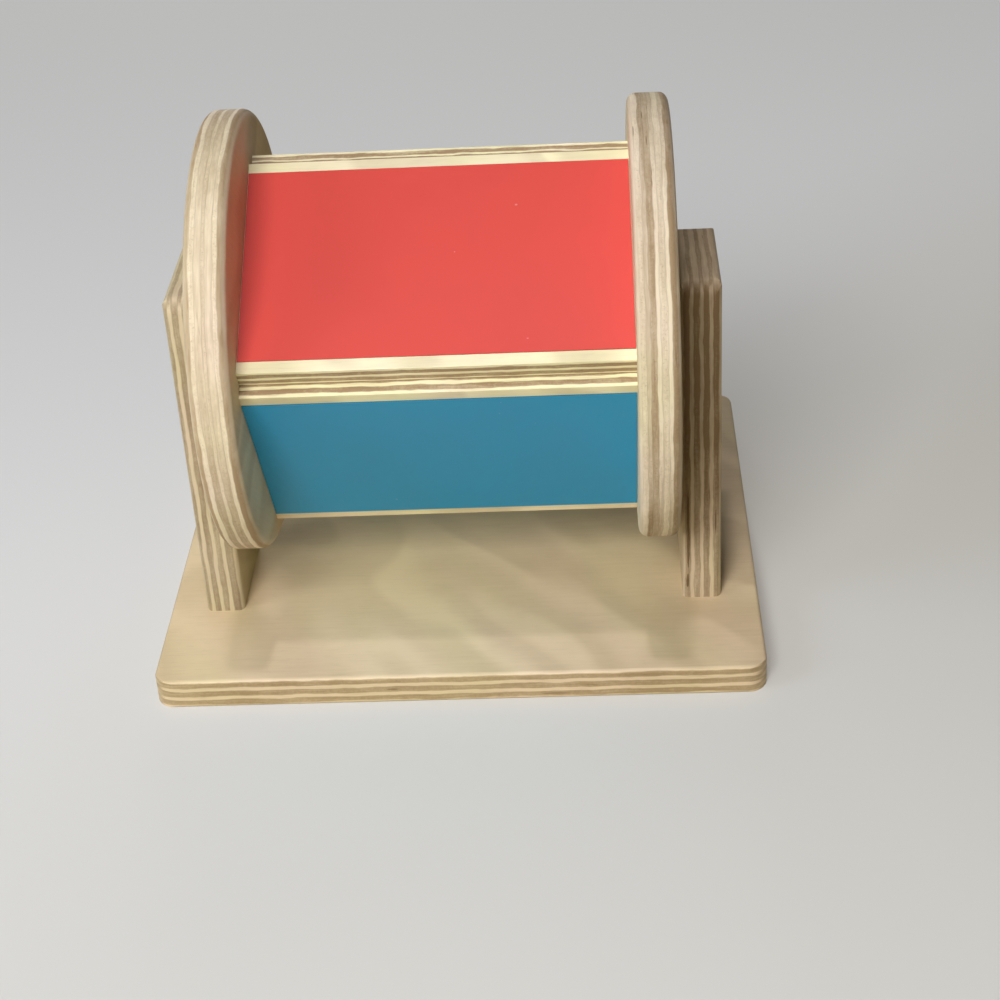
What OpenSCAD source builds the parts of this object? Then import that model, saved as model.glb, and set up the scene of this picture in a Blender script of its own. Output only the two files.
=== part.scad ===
/* [Base] */
// Thickness of the base board
base_t = 9; // [6:0.5:18]
// Depth of the base board, front to back
base_d = 157; // [140:1:220]
// How far the base runs out past each upright's outer face
base_overhang = 11; // [6:0.1:30]
// Radius of the base's four corners, seen from above
base_corner_r = 6; // [3:0.5:15]
// Rounding along the base's top edge
base_edge_r = 1.2; // [0.5:0.1:2.5]
// Rounding along the base's bottom edge
base_foot_r = 0.6; // [0.3:0.1:1.5]

/* [Uprights] */
// Thickness of each upright
upright_t = 11.2; // [7:0.1:15]
// Depth of each upright, front to back
upright_d = 38; // [28:0.5:60]
// From the base's front edge to the front of the uprights
upright_setback = 35; // [25:0.5:60]
// Height of an upright's top above the axle's centre line
upright_above_axle = 19.1; // [14:0.1:35]
// Radius of an upright's two top corners, seen from the side
upright_corner_r = 4; // [2.5:0.5:10]
// Rounding along the uprights' long edges
upright_edge_r = 2; // [0.5:0.1:3]

/* [Drum panels] */
// Length of the panels that shows between the discs
panel_len = 104.6; // [80:0.2:160]
// Width of each panel
panel_w = 68; // [50:0.5:90]
// Thickness of each panel
panel_t = 6; // [4:0.5:9]
// How far each panel laps over the edge of the next one
panel_lap = 2; // [1:0.25:3]
// Turn of the drum at rest: tilt of the red panel's face above level
drum_turn = 60; // [0:1:90]
// How far the middle of the four panels lies below the axle when the drum is at rest
box_drop = 3.5; // [0:0.5:6]

/* [End discs] */
// Thickness of each end disc
disc_t = 11.2; // [9:0.1:20]
// Least wood left in a disc outside the corners of the panels
disc_rim = 6.1; // [4:0.1:25]
// Rounding of the discs' rims
disc_edge_r = 2.5; // [1:0.25:4]
// Depth of the grooves that hold the panels' ends
groove_depth = 4; // [2:0.5:6]
// Room between the discs and the base
disc_floor_gap = 21.4; // [8:0.1:50]

/* [Colour films] */
// Thickness of the coloured sheet on each panel
film_t = 0.3; // [0.2:0.05:0.8]
// Bare margin along each long edge of a panel
film_margin = 3.5; // [1:0.1:8]

/* [Axles] */
// Diameter of the dowel axles
axle_d = 12; // [8:0.5:16]
// Wood left in each disc behind the axle's socket
socket_web = 2; // [1:0.5:5]
// How far each axle's end lies back from the upright's outer face
axle_recess = 0.6; // [0.2:0.1:2]
// Chamfer on the axle's outer end
axle_chamfer = 0.8; // [0.3:0.1:1.5]
// Thickness of the spacer washers
washer_t = 1.3; // [0.8:0.1:6]
// Outer diameter of the spacer washers
washer_d = 25; // [20:0.5:34]

/* [Screws] */
// Shank diameter of the screws
screw_d = 3.5; // [2.5:0.1:4]
// Head diameter of the screws
screw_head_d = 7; // [5:0.1:8]
// Length of the screws, head to tip
screw_len = 30; // [20:1:45]
// Distance between an upright's two screws
screw_spacing = 20; // [12:0.5:40]
// How deep the screw heads are sunk below the base's underside
screw_sink = 0.5; // [0.2:0.1:1.5]

/* [Fits] */
// Running clearance round the axles in the uprights, on the radius
bore_clearance = 0.08; // [0.02:0.01:0.1]
// End play between each washer and its upright
end_play = 0.3; // [0.2:0.05:1]
// Glue gap round a panel's end in its groove
glue_gap = 0.1; // [0.05:0.05:0.3]
// Clearance round the screw shanks in the base, on the radius
screw_clearance = 0.15; // [0.05:0.05:0.4]
// Clearance of the washers round the axles, on the radius
washer_clearance = 0.2; // [0.05:0.05:0.6]

/* [Hidden] */

// Facets of every round edge in a preview
$fn = 96;
// How far a cutting shape runs past the face that it cuts
over = 1;

// The four panels follow each other round the drum, a quarter turn apart
RED = 0;
BLUE = 1;
GREEN = 2;
YELLOW = 3;

// The square box of four panels: its outer side, and how far its corners lie from its middle
panel_step = panel_t - panel_lap;
box_side = panel_w + panel_t + panel_step;
box_corner = norm([box_side / 2, box_side / 2 - panel_step]);
disc_r = box_corner + box_drop + disc_rim;
tongue_len = panel_len + 2 * groove_depth;

// Stations along the axle, out from the middle of the drum
disc_in = panel_len / 2;
disc_out = disc_in + disc_t;
upright_in = disc_out + washer_t + end_play;
upright_out = upright_in + upright_t;
upright_mid = (upright_in + upright_out) / 2;
axle_in = disc_in + socket_web;
axle_out = upright_out - axle_recess;

// The base stands on the ground, centred on the origin
base_w = 2 * (upright_out + base_overhang);
upright_y = upright_setback + upright_d / 2 - base_d / 2;
axle_z = base_t + disc_floor_gap + disc_r;
upright_h = axle_z + upright_above_axle - base_t;
pilot_depth = screw_len + screw_sink - base_t + 0.5;

// The colours as they are seen
BIRCH = [0.90, 0.80, 0.62];
BIRCH_SHADE = [0.80, 0.69, 0.51];
BEECH = [0.80, 0.62, 0.42];
NYLON = [0.93, 0.92, 0.88];
STEEL = [0.70, 0.70, 0.72];
FILM_COLOURS = [[0.90, 0.33, 0.30], [0.25, 0.51, 0.63], [0.36, 0.62, 0.33], [0.95, 0.77, 0.25]];

// A rectangle centred on the origin, w by h, whose upper corners have radius r_top
// and whose lower corners have radius r_low
module soft_rectangle(w, h, r_top, r_low) {
    difference() {
        square([w, h], center = true);
        for (side = [-1, 1]) {
            corner_waste([side * w / 2, h / 2], [-side, -1], r_top);
            corner_waste([side * w / 2, -h / 2], [-side, 1], r_low);
        }
    }
}

// What is cut away outside a round corner of radius r: the corner lies at p and the
// material runs away from it in the two directions of inward
module corner_waste(p, inward, r) {
    if (r > 0)
        translate(p)
            facing(inward)
                difference() {
                    translate([-over, -over])
                        square(r + over);
                    translate([r, r])
                        circle(r);
                }
}

// Turns a corner at the origin, whose material lies at +X and +Y, to face inward
module facing(inward) {
    mirror([inward[0] < 0 ? 1 : 0, 0])
        mirror([0, inward[1] < 0 ? 1 : 0])
            children();
}

// A 2D shape drawn in X and Z, drawn out d along Y about the middle
module along_y(d) {
    rotate([90, 0, 0])
        linear_extrude(d, center = true)
            children();
}

// A 2D shape drawn in Y and Z, drawn out w along X about the middle
module along_x(w) {
    rotate([90, 0, 90])
        linear_extrude(w, center = true)
            children();
}

// A board w by d by t standing on the origin, with corners of radius corner in plan and
// rounded edges above and below
module board(w, d, t, corner, edge_top, edge_low) {
    translate([0, 0, t / 2])
        intersection() {
            linear_extrude(t, center = true)
                soft_rectangle(w, d, corner, corner);
            along_y(d)
                soft_rectangle(w, t, edge_top, edge_low);
            along_x(w)
                soft_rectangle(d, t, edge_top, edge_low);
        }
}

// Places its children at both screws of the upright on one side
module at_screws(side) {
    for (end = [-1, 1])
        translate([side * upright_mid, upright_y + end * screw_spacing / 2, 0])
            children();
}

// The countersunk hole of one screw through the base
module screw_hole() {
    head_h = (screw_head_d - screw_d) / 2;
    r = screw_d / 2 + screw_clearance;
    translate([0, 0, -over])
        cylinder(h = base_t + 2 * over, r = r);
    translate([0, 0, -over])
        cylinder(h = screw_sink + over, r = r + head_h);
    translate([0, 0, screw_sink])
        cylinder(h = head_h, r1 = r + head_h, r2 = r);
}

// One countersunk screw, head down, its point up
module screw() {
    head_h = (screw_head_d - screw_d) / 2;
    point_h = screw_d;
    slot_w = screw_d * 0.28;
    translate([0, 0, screw_sink])
        difference() {
            union() {
                cylinder(h = head_h, r1 = screw_head_d / 2, r2 = screw_d / 2);
                cylinder(h = screw_len - point_h, r = screw_d / 2);
                translate([0, 0, screw_len - point_h])
                    cylinder(h = point_h, r1 = screw_d / 2, r2 = screw_d / 8);
            }
            for (turn = [0, 90])
                rotate(turn)
                    cube([screw_d * 1.1, slot_w, head_h], center = true);
        }
}

module base_plate() {
    color(BIRCH)
        difference() {
            board(base_w, base_d, base_t, base_corner_r, base_edge_r, base_foot_r);
            for (side = [-1, 1])
                at_screws(side)
                    screw_hole();
        }
}

// An upright stands on the base, its bore in line with the axle
module upright(side) {
    color(BIRCH_SHADE)
        difference() {
            translate([side * upright_mid, upright_y, base_t + upright_h / 2])
                intersection() {
                    linear_extrude(upright_h, center = true)
                        soft_rectangle(upright_t, upright_d, upright_edge_r, upright_edge_r);
                    along_y(upright_d)
                        soft_rectangle(upright_t, upright_h, upright_edge_r, 0);
                    along_x(upright_t)
                        soft_rectangle(upright_d, upright_h, upright_corner_r, 0);
                }
            on_axle(side)
                translate([0, 0, upright_in - over])
                    cylinder(h = upright_t + 2 * over, r = axle_d / 2 + bore_clearance);
            at_screws(side)
                translate([0, 0, base_t - over])
                    cylinder(h = pilot_depth + over, r = screw_d / 2);
        }
}

module screws(side) {
    color(STEEL)
        at_screws(side)
            screw();
}

// Carries its children to the axle: their Z runs out along the axle on one side
module on_axle(side) {
    translate([0, upright_y, axle_z])
        rotate([0, side * 90, 0])
            children();
}

module washer(side) {
    color(NYLON)
        on_axle(side)
            translate([0, 0, disc_out])
                difference() {
                    cylinder(h = washer_t, r = washer_d / 2);
                    translate([0, 0, -over])
                        cylinder(h = washer_t + 2 * over, r = axle_d / 2 + washer_clearance);
                }
}

module axle(side) {
    color(BEECH)
        on_axle(side) {
            translate([0, 0, axle_in])
                cylinder(h = axle_out - axle_chamfer - axle_in, r = axle_d / 2);
            translate([0, 0, axle_out - axle_chamfer])
                cylinder(h = axle_chamfer, r1 = axle_d / 2, r2 = axle_d / 2 - axle_chamfer);
        }
}

// Turns its children about the middle of the box: the panel of the given place in the order
// faces +Z, its lapping edge is at -Y, and X runs along the axle
module on_drum(place) {
    translate([0, upright_y, axle_z - box_drop])
        rotate([drum_turn_of(place), 0, 0])
            children();
}

function drum_turn_of(place) = 90 - drum_turn + 90 * place;

// Cross-section of one panel, drawn in Y and Z with its outer face up, grown all round
// by spare. One edge stops under the last panel and the other runs on over the next
module panel_section(spare) {
    translate([-box_side / 2 + panel_step - spare, box_side / 2 - panel_t - spare])
        square([panel_w + 2 * spare, panel_t + 2 * spare]);
}

module panel(place) {
    color(BIRCH)
        on_drum(place)
            along_x(tongue_len)
                panel_section(0);
}

// The sheet of colour covers the panel between the discs, but for its two margins
module film(place) {
    color(FILM_COLOURS[place])
        on_drum(place)
            translate([-panel_len / 2 + glue_gap, film_margin + panel_step - box_side / 2,
                       box_side / 2])
                cube([panel_len - 2 * glue_gap, panel_w - 2 * film_margin, film_t]);
}

// A round slab with a rounded rim, lying on the origin
module rounded_slab(r, t, edge) {
    rotate_extrude()
        intersection() {
            square([r, t]);
            translate([0, t / 2])
                soft_rectangle(2 * r, t, edge, edge);
        }
}

module disc(side) {
    color(BIRCH)
        difference() {
            on_axle(side)
                translate([0, 0, disc_in])
                    rounded_slab(disc_r, disc_t, disc_edge_r);
            on_axle(side)
                translate([0, 0, axle_in])
                    cylinder(h = disc_out - axle_in + over, r = axle_d / 2);
            for (place = [RED, BLUE, GREEN, YELLOW])
                on_drum(place)
                    along_x(tongue_len)
                        panel_section(glue_gap);
        }
}

base_plate();
upright(-1);  // left_upright
upright(1);  // right_upright
screws(-1);  // left_screws
screws(1);  // right_screws
washer(-1);  // left_washer
washer(1);  // right_washer
axle(-1);  // left_axle
axle(1);  // right_axle
disc(-1);  // left_disc
disc(1);  // right_disc
panel(RED);  // red_panel
panel(BLUE);  // blue_panel
panel(GREEN);  // green_panel
panel(YELLOW);  // yellow_panel
film(RED);  // red_film
film(BLUE);  // blue_film
film(GREEN);  // green_film
film(YELLOW);  // yellow_film
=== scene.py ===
import math

import bmesh
import bpy
from mathutils import Matrix, Vector


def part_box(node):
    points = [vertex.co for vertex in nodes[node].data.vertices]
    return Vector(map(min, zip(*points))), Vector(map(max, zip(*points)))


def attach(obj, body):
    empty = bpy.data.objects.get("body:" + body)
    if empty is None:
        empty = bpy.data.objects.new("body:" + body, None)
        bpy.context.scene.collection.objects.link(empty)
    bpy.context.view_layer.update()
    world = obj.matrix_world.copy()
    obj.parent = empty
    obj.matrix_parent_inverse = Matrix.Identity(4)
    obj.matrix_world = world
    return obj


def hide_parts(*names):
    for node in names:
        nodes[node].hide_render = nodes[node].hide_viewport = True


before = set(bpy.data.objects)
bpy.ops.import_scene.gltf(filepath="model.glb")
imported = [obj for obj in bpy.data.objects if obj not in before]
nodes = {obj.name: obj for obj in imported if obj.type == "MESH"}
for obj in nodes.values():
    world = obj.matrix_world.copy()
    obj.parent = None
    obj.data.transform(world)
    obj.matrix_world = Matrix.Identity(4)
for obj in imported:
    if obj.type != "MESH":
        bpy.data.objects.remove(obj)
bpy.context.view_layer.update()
bpy.context.scene.view_settings.view_transform = "Standard"


# The camera stands in front of the toy and a little to its right, and looks down on it from about
# arm's length. It is held slightly askew, as it was in the hand.
camera_place = (0.04215, -0.55307, 0.36128)
camera_pan = math.radians(3.286)
camera_tilt = math.radians(31.80)
camera_roll = math.radians(-3.528)
camera_data = bpy.data.cameras.new("camera")
camera_data.sensor_width = 36
camera_data.lens = 75.302
camera_data.clip_start = 0.01
camera = bpy.data.objects.new("camera", camera_data)
camera.matrix_world = (
    Matrix.Translation(camera_place)
    @ Matrix.Rotation(camera_pan, 4, "Z")
    @ Matrix.Rotation(math.pi / 2 - camera_tilt, 4, "X")
    @ Matrix.Rotation(camera_roll, 4, "Z")
)
bpy.context.scene.collection.objects.link(camera)
bpy.context.scene.camera = camera


# The base plate is a rectangle of 9 mm birch plywood, seven plies thick, with its corners rounded and
# its top edge softened with sandpaper. Its face veneer shows faint flame figure under a clear satin
# lacquer.
class Reading:
    """What one shader socket gives out. Sums and products of readings add their Math nodes."""

    def __init__(self, finish, socket):
        self.finish = finish
        self.socket = socket

    def __add__(self, other):
        return self.finish.maths("ADD", self, other)

    def __radd__(self, other):
        return self.finish.maths("ADD", other, self)

    def __sub__(self, other):
        return self.finish.maths("SUBTRACT", self, other)

    def __rsub__(self, other):
        return self.finish.maths("SUBTRACT", other, self)

    def __mul__(self, other):
        return self.finish.maths("MULTIPLY", self, other)

    def __rmul__(self, other):
        return self.finish.maths("MULTIPLY", other, self)

    def __abs__(self):
        return self.finish.maths("ABSOLUTE", self)


class Finish:
    """A surface finish: a material, its Principled shader and the nodes that feed it."""

    def __init__(self, name):
        self.material = bpy.data.materials.new(name)
        self.material.use_nodes = True
        self.tree = self.material.node_tree
        self.shader = self.tree.nodes["Principled BSDF"]

    def feed(self, socket, value):
        if isinstance(value, Reading):
            self.tree.links.new(value.socket, socket)
        else:
            socket.default_value = value

    def node(self, kind, settings=None, inputs=None, output=0):
        """Adds a node. Its settings, a ramp's stops among them, come before its inputs."""
        node = self.tree.nodes.new("ShaderNode" + kind)
        for name, setting in (settings or {}).items():
            if name != "stops":
                setattr(node, name, setting)
                continue
            stops = node.color_ramp.elements
            while len(stops) < len(setting):
                stops.new(1)
            for stop, (place, colour) in zip(stops, setting):
                stop.position = place
                stop.color = colour
        for name, value in (inputs or {}).items():
            self.feed(node.inputs[name], value)
        return Reading(self, node.outputs[output])

    def parts(self, kind, whole):
        """The three parts of a vector or a colour."""
        first = self.node(kind, inputs={0: whole})
        return [Reading(self, socket) for socket in first.socket.node.outputs]

    def maths(self, operation, *values):
        return self.node("Math", {"operation": operation}, dict(enumerate(values)))

    def between(self, low, high, value):
        """0 where value is under low, 1 where it is over high, and smooth in between."""
        return self.node(
            "MapRange",
            {"interpolation_type": "SMOOTHSTEP"},
            {"Value": value, "From Min": low, "From Max": high},
        )

    def spread(self, *parts):
        """A vector from its three parts."""
        return self.node("CombineXYZ", inputs=dict(enumerate(parts)))

    def noise(self, vector, scale, detail=2.0, roughness=0.5):
        inputs = {"Vector": vector, "Scale": scale, "Detail": detail, "Roughness": roughness}
        return self.node("TexNoise", inputs=inputs)

    def blend(self, share, first, second):
        return self.node("Mix", {"data_type": "RGBA"}, {0: share, 6: first, 7: second}, 2)

    def coat(self, weight, roughness):
        """A clear lacquer over the surface."""
        self.feed(self.shader.inputs["Coat Weight"], weight)
        self.feed(self.shader.inputs["Coat Roughness"], roughness)

    def surface(self, colour, roughness, height=None, relief=0.00005, strength=0.3):
        """Colour and gloss, and a relief of that many metres where a height is given."""
        self.feed(self.shader.inputs["Base Color"], colour)
        self.feed(self.shader.inputs["Roughness"], roughness)
        if height is not None:
            inputs = {"Height": height, "Distance": relief, "Strength": strength}
            self.feed(self.shader.inputs["Normal"], self.node("Bump", inputs=inputs))


def paint(red, green, blue):
    """A colour as the eye sees it, 0 to 255, in the light values that a shader takes."""
    parts = [value / 255 for value in (red, green, blue)]
    return [v / 12.92 if v < 0.04045 else ((v + 0.055) / 1.055) ** 2.4 for v in parts] + [1]


millimetres = (0.001, 0.001, 0.001)
no_painted_shade = (0.0, 1.0, 0.0, 0.0)


def plywood(
    name, back, grain, through, plies, pale, deep,
    cut=0.6, lacquer=0.5, shine=0.5, seed=0.0, painted_shade=no_painted_shade, joint=0.0, gaps=(),
):
    """A birch plywood board. back is a point on its back face, grain the way its face veneer runs and
    through the way from back to front. plies gives each ply's thickness in millimetres and its tone, 0
    for the palest veneer and 1 for the deepest. Each ply runs across the next one, so round the edges
    it shows long grain and cut ends by turns, and cut ends look deeper, by cut. Painted shade makes the
    board deeper along its grain: painted_shade gives where along the grain that starts and ends, and by
    how much for its edges and for its faces. joint is how much darker the arris of the back face is,
    where the board meets another. gaps are open places in the core: their middle along the grain and in
    depth, and their half length and half width. All lengths are in millimetres."""
    wood = Finish(name)

    # Every point of the board is measured along its face grain, over it and in depth from its back
    # face. Its edges are the surfaces that don't face front or back.
    across = through.cross(grain)
    turn = Matrix((grain, across, through)).transposed().to_euler()
    place = wood.node(
        "Mapping",
        {"vector_type": "TEXTURE"},
        {0: wood.node("TexCoord", output="Object"), 1: back, 2: turn, 3: millimetres},
    )
    along, over, depth = wood.parts("SeparateXYZ", place)
    facing = wood.node(
        "Mapping",
        {"vector_type": "TEXTURE"},
        {0: wood.node("TexCoord", output="Normal"), 2: turn},
    )
    facing_along, facing_over, facing_out = wood.parts("SeparateXYZ", facing)
    edge = 1 - wood.between(0.5, 0.9, abs(facing_out))

    # The plies: one part of the ramp's colour tells which of them run crosswise, the other their tone.
    # One passes into the next over the seam, where the glue is, and they all wander a little.
    thickness = sum(ply for ply, tone in plies)
    seam = 0.35
    wander = 1.4
    start = 0
    stops = []
    for number, (ply, tone) in enumerate(plies):
        colour = (number % 2, tone, 0, 1)
        stops.append(((start + seam / 2) / thickness, colour))
        stops.append(((start + ply - seam / 2) / thickness, colour))
        start += ply
    drift_place = wood.spread(along * 0.09 + 7 * seed, over * 0.09, depth * 0.3)
    drift = wood.noise(drift_place, 1.0, 3.0, 0.6) - 0.5
    core_depth = depth + wander * drift
    ramp = wood.node("ValToRGB", {"stops": stops}, {0: core_depth * (1 / thickness)})
    crosswise, tone = wood.parts("SeparateColor", ramp)[:2]
    glue = crosswise * (1 - crosswise) * 4 * edge
    end = abs(facing_along) * (1 - crosswise) + abs(facing_over) * crosswise
    end_grain = wood.between(0.35, 0.9, end)

    # Fibres and pores are long streaks that turn with each ply. Blotches and streaks are wider.
    stretch = 0.93
    fibre_place = wood.spread(
        along * (1 - stretch + stretch * crosswise) + 17 * seed, over * (1 - stretch * crosswise), depth
    )
    fibre = wood.noise(fibre_place, 0.9, 4.0, 0.6)
    pore = wood.between(0.60, 0.72, wood.noise(fibre_place, 2.6, 1.0))
    blotch = wood.noise(place, 0.06, 3.0, 0.55)
    streak = wood.noise(wood.spread(along * 0.06, over * 0.06 + 5 * seed, depth * 1.3), 1.0, 3.0, 0.65)

    # Here and there the core has an open place: small ones anywhere, and the gaps that are given.
    void_place = wood.spread(along * 0.07, over * 0.07 + 3 * seed, depth * 1.1)
    void = wood.between(0.72, 0.77, wood.noise(void_place, 1.0, 1.0)) * crosswise * edge
    ragged = (fibre - 0.5) * 0.9
    for gap_along, gap_depth, half_length, half_width in gaps:
        off_along = (along - gap_along) * (1 / half_length)
        off_depth = (core_depth - gap_depth) * (1 / half_width)
        outside = wood.between(0.7, 1.1, off_along * off_along + off_depth * off_depth + ragged)
        void = wood.maths("MAXIMUM", void, (1 - outside) * edge)

    # The growth rings, cut at a slant, show as flame figure on the faces.
    slant = along + 0.45 * over
    ring_place = wood.spread(slant * 0.016 + 3 * seed, over * 0.009, depth * 0.01)
    ring = wood.maths("FRACT", wood.noise(ring_place, 1.0, 2.0, 0.4) * 7)
    flame = wood.between(0.0, 0.6, ring) * (1 - wood.between(0.75, 1.0, ring)) * (1 - edge)

    # share is how far the wood goes from pale to deep at each point, on the faces and on the edges.
    share = tone * (0.3 + 0.4 * edge) + end_grain * cut + (fibre - 0.5) * (0.22 + 0.3 * edge)
    share = share + (blotch - 0.5) * (0.3 + 0.4 * edge) + edge * (streak - 0.5) * 0.9 + flame * 0.24
    # Painted shade: the board is made deeper along its grain between the two places given, on its edges
    # and faces by the amounts given.
    starts, ends, on_edges, on_faces = painted_shade
    deeper = on_edges * (edge - 0.7 * abs(facing_along)) + on_faces * (1 - edge)
    share = share + wood.between(starts, ends, along) * deeper
    # joint makes the arris of the back face darker, along where the board meets another.
    share = share + joint * edge * (1 - wood.between(0.2, 0.5, depth))

    # The palest wood goes from rosy to mossy in wide bands. Pores, glue and open places are brown.
    rosy = [value * part for value, part in zip(pale, (1.015, 0.985, 0.985))] + [1]
    mossy = [value * part for value, part in zip(pale, (0.97, 0.99, 0.88))] + [1]
    brown = [value * part for value, part in zip(deep, (0.50, 0.44, 0.36))] + [1]
    sapwood = wood.noise(wood.spread(slant * 0.03, over * 0.012 + 9 * seed, depth * 0.05), 1.0, 2.0)
    colour = wood.blend(wood.between(0.34, 0.66, sapwood), rosy, mossy)
    colour = wood.blend(share, colour, deep)
    colour = wood.blend(pore * (0.06 + 0.22 * end_grain) + glue * 0.22, colour, brown)
    colour = wood.blend(void * 0.8, colour, brown)

    height = fibre * 0.5 - pore * 0.7 - void * 2
    gloss = 0.42 + 0.12 * edge + 0.1 * fibre
    wood.surface(colour, gloss, height, relief=0.00008, strength=0.25)
    wood.coat(lacquer * (1 - 0.4 * edge), roughness=0.22)
    wood.shader.inputs["Specular IOR Level"].default_value = shine
    return wood


def dress(node, finish):
    """Gives a CAD node its finish, in the place of its plain material."""
    nodes[node].data.materials.clear()
    nodes[node].data.materials.append(finish.material)


x_way, z_way = Vector((1, 0, 0)), Vector((0, 0, 1))
base_plies = [(0.8, 0), (1.6, 0.3), (1.25, 0), (1.7, 0.3), (1.25, 0), (1.6, 0.3), (0.8, 0)]
base_low, base_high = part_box("base_plate")
# Painted shade: the base is painted deeper towards its right end, more on its top than on its edges.
base_wood = plywood(
    "base birch", base_low, x_way, z_way, base_plies, paint(235, 214, 180), paint(174, 149, 111),
    lacquer=0.35, shine=0.2, seed=2.2, painted_shade=(60.0, 170.0, 0.1, 0.25),
)
dress("base_plate", base_wood)


# The two uprights are posts of thicker birch plywood, nine plies, their face grain standing upright.
# Each has its top corners and edges rounded over and a bore for the axle, and is screwed on from under
# the base. The left one's outer plies are uneven, and the right one's core is open low at the front.
thick_board = (0.65, 1.65, 1.1, 1.65, 1.1, 1.65, 1.1, 1.65, 0.65)
uneven_board = (1.1, 2.05, 1.15, 1.6, 1.15, 1.6, 1.15, 1.2, 0.2)
upright_tones = (0.0, 0.2, 0.0, 0.1, 0.05, 0.2, 0.0, 0.1, 0.0)
right_gaps = ((23.5, 1.55, 14.0, 0.42), (6.0, 1.6, 2.6, 0.4))
# Painted shade: the right upright is painted deeper on its edges from 15 mm up, fully so from 75 mm up,
# where the right disc shadows it.
right_painted_shade = (15.0, 75.0, 0.5, 0.0)
for side, outward, board, pale, deep, cut, seed, painted_shade, gaps in (
    ("left", -x_way, uneven_board, paint(216, 200, 174), paint(149, 128, 101), 0.6, 1.3, no_painted_shade, ()),
    (
        "right", x_way, thick_board, paint(214, 196, 168), paint(138, 114, 85), 0.5, 2.6,
        right_painted_shade, right_gaps,
    ),
):
    low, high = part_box(side + "_upright")
    back = high if outward.x < 0 else low
    upright_wood = plywood(
        side + " upright birch", back, z_way, outward, list(zip(board, upright_tones)), pale, deep,
        cut=cut, lacquer=0.0, shine=0.04, seed=seed, painted_shade=painted_shade, gaps=gaps,
    )
    dress(side + "_upright", upright_wood)


# The screws are zinc plated steel. They go up through the base into the uprights, two to each, and
# their countersunk heads are sunk a little into the base's underside.
steel = Finish("zinc plated steel")
steel_marks = steel.noise(steel.node("TexCoord", output="Object"), 900.0, 3.0)
steel_colour = steel.blend(steel_marks, paint(190, 190, 192), paint(214, 213, 208))
steel.shader.inputs["Metallic"].default_value = 1
steel.surface(steel_colour, 0.26 + 0.2 * steel_marks)
for side in ("left", "right"):
    dress(side + "_screws", steel)


# The washers are plain nylon spacers, slipped on the axles when the toy is put together. They keep the
# discs off the uprights.
nylon = Finish("nylon")
nylon_marks = nylon.noise(nylon.node("TexCoord", output="Object"), 300.0, 3.0)
nylon_colour = nylon.blend(nylon_marks, paint(235, 233, 224), paint(244, 243, 236))
nylon.surface(nylon_colour, 0.42 + 0.1 * nylon_marks)
for side in ("left", "right"):
    dress(side + "_washer", nylon)


# The axles are short beech dowels, glued into the discs, that turn in the uprights. Their ends show
# the growth rings and the rays of the wood.
axle_low, axle_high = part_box("left_axle")
pith = (axle_low + axle_high) / 2 + Vector((0, 0.004, -0.009))
beech = Finish("beech dowel")
beech_place = beech.node(
    "Mapping",
    {"vector_type": "TEXTURE"},
    {0: beech.node("TexCoord", output="Object"), 1: pith, 3: millimetres},
)
beech_along, beech_over, beech_up = beech.parts("SeparateXYZ", beech_place)
from_pith = beech.maths("SQRT", beech_over * beech_over + beech_up * beech_up)
growth = beech.maths("FRACT", from_pith * 0.7 + 0.5 * beech.noise(beech_place, 0.2))
ray_place = beech.spread(beech_along * 0.3, beech_over, beech_up)
rays = beech.between(0.60, 0.68, beech.noise(ray_place, 3.0, 1.0))
late_wood = beech.between(0.2, 1.0, growth)
beech_colour = beech.blend(late_wood * 0.6, paint(208, 170, 126), paint(170, 124, 84))
beech_colour = beech.blend(rays * 0.5, beech_colour, paint(140, 96, 62))
beech.surface(beech_colour, 0.5 + 0.1 * rays, growth)
for side in ("left", "right"):
    dress(side + "_axle", beech)


# The discs are cut from the same plywood as the uprights, and their rims are rounded over and sanded
# smooth, so that the plies run round them as pale and deeper lines. The panels sit in grooves on the
# inner faces. The face grain of each disc runs its own way.
left_disc_board = (0.6, 1.4, 1.3, 1.9, 1.0, 1.8, 1.5, 1.1, 0.6)
left_disc_tones = (1.0, 1.2, 0.0, 0.5, 0.25, 0.6, 0.0, 1.2, 1.2)
right_disc_tones = (0.0, 0.1, 0.65, 0.8, 0.1, 0.0, 0.1, 1.1, 1.1)
left_disc_plies = list(zip(left_disc_board, left_disc_tones))
right_disc_plies = list(zip(thick_board, right_disc_tones))
for side, outward, grain_turn, plies, pale, deep, seed in (
    ("left", -x_way, 40, left_disc_plies, paint(246, 231, 211), paint(182, 158, 127), 3.1),
    ("right", x_way, 115, right_disc_plies, paint(236, 222, 200), paint(171, 147, 117), 4.7),
):
    grain_turn = math.radians(grain_turn)
    disc_grain = Vector((0, -math.cos(grain_turn), math.sin(grain_turn)))
    low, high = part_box(side + "_disc")
    back = high if outward.x < 0 else low
    disc_wood = plywood(
        side + " disc birch", back, disc_grain, outward, plies, pale, deep,
        cut=0.3, lacquer=0.0, shine=0.02, seed=seed,
    )
    dress(side + "_disc", disc_wood)


# The four panels are 6 mm birch plywood, five plies, glued to each other edge to face and into the
# discs' grooves. Their arrises are only just broken with sandpaper. The yellow one is of an odd board,
# whose edge shows one thick and one thin ply.
colours = ("red", "blue", "green", "yellow")
panel_boxes = [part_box(colour + "_panel") for colour in colours]
drum_low = Vector([min(box[0][axis] for box in panel_boxes) for axis in range(3)])
drum_high = Vector([max(box[1][axis] for box in panel_boxes) for axis in range(3)])
drum_middle = (drum_low + drum_high) / 2


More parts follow.
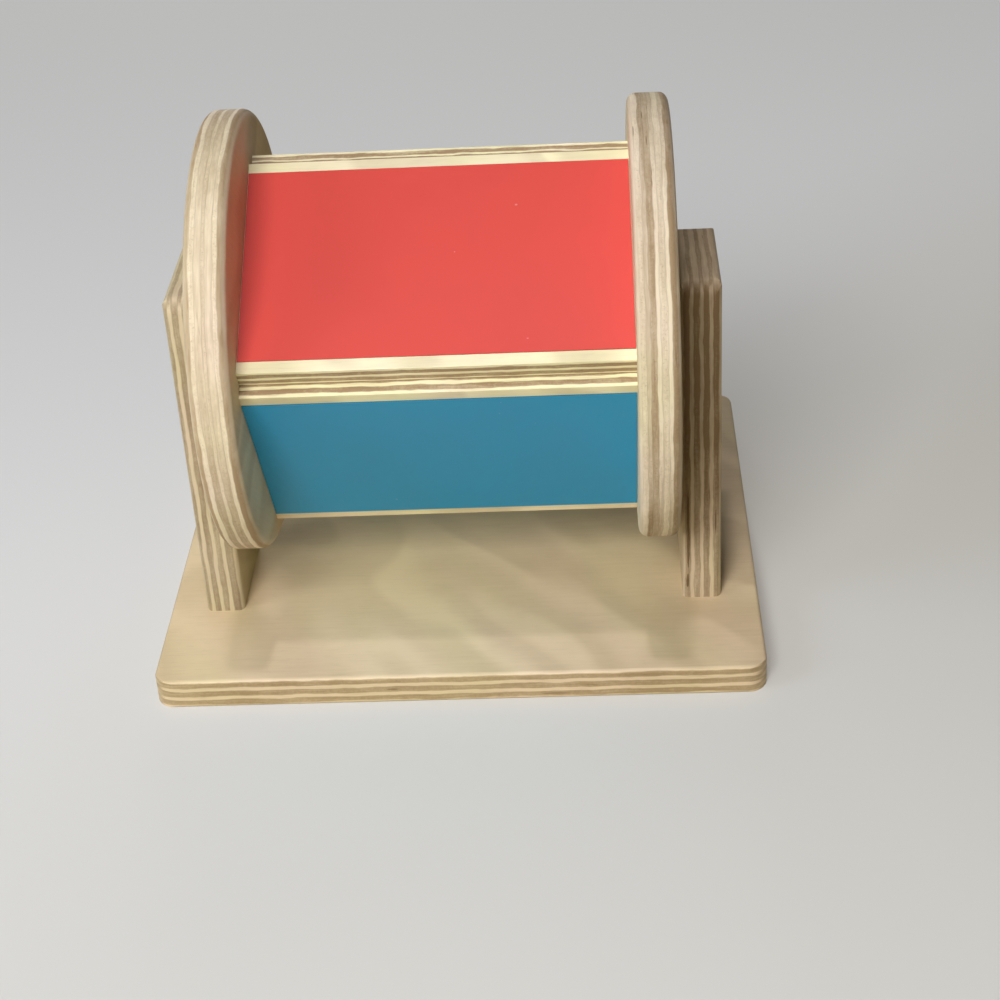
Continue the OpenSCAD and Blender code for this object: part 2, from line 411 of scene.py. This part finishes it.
def softened(node, width):
    """A copy of a CAD node's solid with its edges broken, in the node's place. Also gives the way its
    outer face looks, and that face's middle."""
    mesh = nodes[node].data.copy()
    mesh.name = node + "_soft"
    shape = bmesh.new()
    shape.from_mesh(mesh)
    bmesh.ops.remove_doubles(shape, verts=shape.verts, dist=1e-6)
    bmesh.ops.dissolve_limit(shape, angle_limit=math.radians(1), verts=shape.verts, edges=shape.edges)
    largest = max(face.calc_area() for face in shape.faces)
    broad = [face for face in shape.faces if face.calc_area() > 0.9 * largest]
    outer = max(broad, key=lambda face: face.normal.dot(face.calc_center_median() - drum_middle))
    facing, middle = outer.normal.copy(), outer.calc_center_median()
    bmesh.ops.bevel(
        shape, geom=shape.edges[:], offset=width, affect="EDGES", segments=2, profile=0.5, material=-1
    )
    for face in shape.faces:
        face.smooth = face.calc_area() < 0.02 * largest
    shape.to_mesh(mesh)
    shape.free()
    piece = bpy.data.objects.new(node + "_soft", mesh)
    bpy.context.scene.collection.objects.link(piece)
    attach(piece, "drum")
    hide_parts(node)
    return piece, facing, middle


panel_plies = [(0.9, 0.1), (1.5, 0.5), (1.1, 0.12), (1.52, 0.5), (0.98, 0.12)]
yellow_plies = [(0.9, 0.1), (2.5, 0.6), (0.52, 0.12), (1.25, 0.5), (0.83, 0.12)]
panel_thickness = 0.001 * sum(ply for ply, tone in panel_plies)
panel_arris = 0.0002
for number, colour in enumerate(colours):
    panel, facing, middle = softened(colour + "_panel", panel_arris)
    panel_wood = plywood(
        colour + " panel birch", middle - facing * panel_thickness, x_way, facing,
        yellow_plies if colour == "yellow" else panel_plies,
        paint(255, 246, 212), paint(162, 134, 99), seed=5.0 + number, joint=0.9,
    )
    panel.data.materials.clear()
    panel.data.materials.append(panel_wood.material)


# The coloured faces are thin satin sheets, one to each panel, glued on with a bare birch margin along
# both long edges. Their surface is slightly uneven, with a few pale specks, and their cut edges are
# darker.
sheet_arris = 0.00008
sheet_colours = {
    "red": paint(226, 78, 68),
    "blue": paint(40, 157, 208),
    "green": paint(106, 164, 66),
    "yellow": paint(246, 208, 64),
}
for colour in colours:
    sheet, facing, middle = softened(colour + "_film", sheet_arris)
    satin = Finish(colour + " satin sheet")
    satin_place = satin.node("TexCoord", output="Object")
    cloud = satin.noise(satin_place, 30.0, 3.0)
    peel = satin.noise(satin_place, 1400.0, 2.0)
    speck = satin.between(0.92, 0.93, satin.noise(satin_place, 700.0, 0.0))
    full = sheet_colours[colour]
    thinner = [value * 0.9 for value in full[:3]] + [1]
    shaded = [value * 0.3 for value in full[:3]] + [1]
    sheet_colour = satin.blend(cloud, thinner, full)
    sheet_colour = satin.blend(speck * 0.2, sheet_colour, paint(250, 235, 225))
    turn = facing.to_track_quat("Z", "Y").to_euler()
    sheet_facing = satin.node(
        "Mapping", {"vector_type": "TEXTURE"}, {0: satin.node("TexCoord", output="Normal"), 2: turn}
    )
    cut_edge = 1 - satin.between(0.6, 0.95, abs(satin.parts("SeparateXYZ", sheet_facing)[2]))
    sheet_colour = satin.blend(cut_edge * 0.7, sheet_colour, shaded)
    gloss = 0.36 + 0.12 * cloud + 0.3 * cut_edge
    satin.surface(sheet_colour, gloss, peel + 20 * cloud, relief=0.00002, strength=0.25)
    satin.shader.inputs["Specular IOR Level"].default_value = 0.34
    sheet.data.materials.clear()
    sheet.data.materials.append(satin.material)


# The toy stands on a pale floor that glows faintly to the camera, a painted light, and is painted a
# shade greyer to the right and in front, as painted shade. A softbox ahead of it and somewhat to its
# left gives most of the light, with cooler light as from a window further left. A small lamp shines
# from high above, and a weak one from behind keeps the far side from going dark.
floor_reach = 40
floor_mesh = bpy.data.meshes.new("floor")
floor_shape = bmesh.new()
bmesh.ops.create_grid(floor_shape, x_segments=1, y_segments=1, size=floor_reach)
floor_shape.to_mesh(floor_mesh)
floor_shape.free()
floor = bpy.data.objects.new("floor", floor_mesh)
bpy.context.scene.collection.objects.link(floor)
floor_finish = Finish("floor")
seen = floor_finish.maths(
    "MAXIMUM",
    floor_finish.node("LightPath", output="Is Camera Ray"),
    floor_finish.node("LightPath", output="Is Glossy Ray"),
)
floor_colour = floor_finish.blend(seen, paint(197, 189, 166), paint(196, 196, 197))
floor_finish.surface(floor_colour, 0.6)
floor_place = floor_finish.node("TexCoord", output="Object")
from_toy = floor_finish.node("VectorMath", {"operation": "LENGTH"}, {0: floor_place}, 1)
far_off = floor_finish.between(0.5, 3.5, from_toy)
rightward, backward = floor_finish.parts("SeparateXYZ", floor_place)[:2]
# Painted shade: the floor's glow is made greyer to the right and in front.
painted_shade_right_front = floor_finish.between(-0.12, 0.10, 0.7 * (rightward - backward))
near_glow = floor_finish.blend(painted_shade_right_front, paint(138, 139, 140), paint(114, 112, 103))
floor_glow = floor_finish.blend(far_off, near_glow, paint(205, 205, 204))
floor_glow = floor_finish.blend(seen, paint(0, 0, 0), floor_glow)
floor_finish.feed(floor_finish.shader.inputs["Emission Color"], floor_glow)
floor_finish.shader.inputs["Emission Strength"].default_value = 1
floor_finish.shader.inputs["Specular IOR Level"].default_value = 0
floor_mesh.materials.append(floor_finish.material)

lamp_aim = Vector((0, -0.02, 0.06))
for name, turn, height, lamp_distance, size, energy, colour in (
    ("softbox", -12.5, 37, 1.0, 0.35, 6.9, (1.0, 0.985, 0.95)),
    ("window", -62, 24, 1.2, 0.45, 3.7, (0.85, 0.95, 1.0)),
    ("ceiling lamp", 0, 79, 1.6, 0.07, 5.0, (0.83, 0.80, 0.93)),
    ("back lamp", -172, 6, 1.3, 0.3, 2.4, (1.0, 0.96, 0.90)),
):
    turn, height = math.radians(turn), math.radians(height)
    lamp_data = bpy.data.lights.new(name, "AREA")
    lamp_data.shape = "SQUARE"
    lamp_data.size = size
    lamp_data.energy = energy
    lamp_data.color = colour
    lamp = bpy.data.objects.new(name, lamp_data)
    lamp.visible_camera = False
    lamp_side = math.sin(turn) * math.cos(height)
    lamp_front = math.cos(turn) * math.cos(height)
    lamp_way = Vector((lamp_side, -lamp_front, math.sin(height)))
    lamp.matrix_world = (
        Matrix.Translation(lamp_aim + lamp_distance * lamp_way)
        @ lamp_way.to_track_quat("Z", "Y").to_matrix().to_4x4()
    )
    bpy.context.scene.collection.objects.link(lamp)

# The studio round about is pale, as the picture and anything glossy shows. All that it adds to the
# light is a faint warm fill.
studio = bpy.data.worlds.new("studio")
studio.use_nodes = True
studio_nodes = studio.node_tree.nodes
studio_links = studio.node_tree.links
fill = studio_nodes["Background"]
fill.inputs["Color"].default_value = (1.0, 0.90, 0.36, 1)
fill.inputs["Strength"].default_value = 0.055
backdrop = studio_nodes.new("ShaderNodeBackground")
backdrop.inputs["Color"].default_value = (0.87, 0.86, 0.84, 1)
backdrop.inputs["Strength"].default_value = 0.6
ray = studio_nodes.new("ShaderNodeLightPath")
backdrop_seen = studio_nodes.new("ShaderNodeMath")
backdrop_seen.operation = "MAXIMUM"
studio_links.new(ray.outputs["Is Camera Ray"], backdrop_seen.inputs[0])
studio_links.new(ray.outputs["Is Glossy Ray"], backdrop_seen.inputs[1])
fill_or_backdrop = studio_nodes.new("ShaderNodeMixShader")
studio_links.new(backdrop_seen.outputs[0], fill_or_backdrop.inputs[0])
studio_links.new(fill.outputs[0], fill_or_backdrop.inputs[1])
studio_links.new(backdrop.outputs[0], fill_or_backdrop.inputs[2])
studio_links.new(fill_or_backdrop.outputs[0], studio_nodes["World Output"].inputs["Surface"])
bpy.context.scene.world = studio
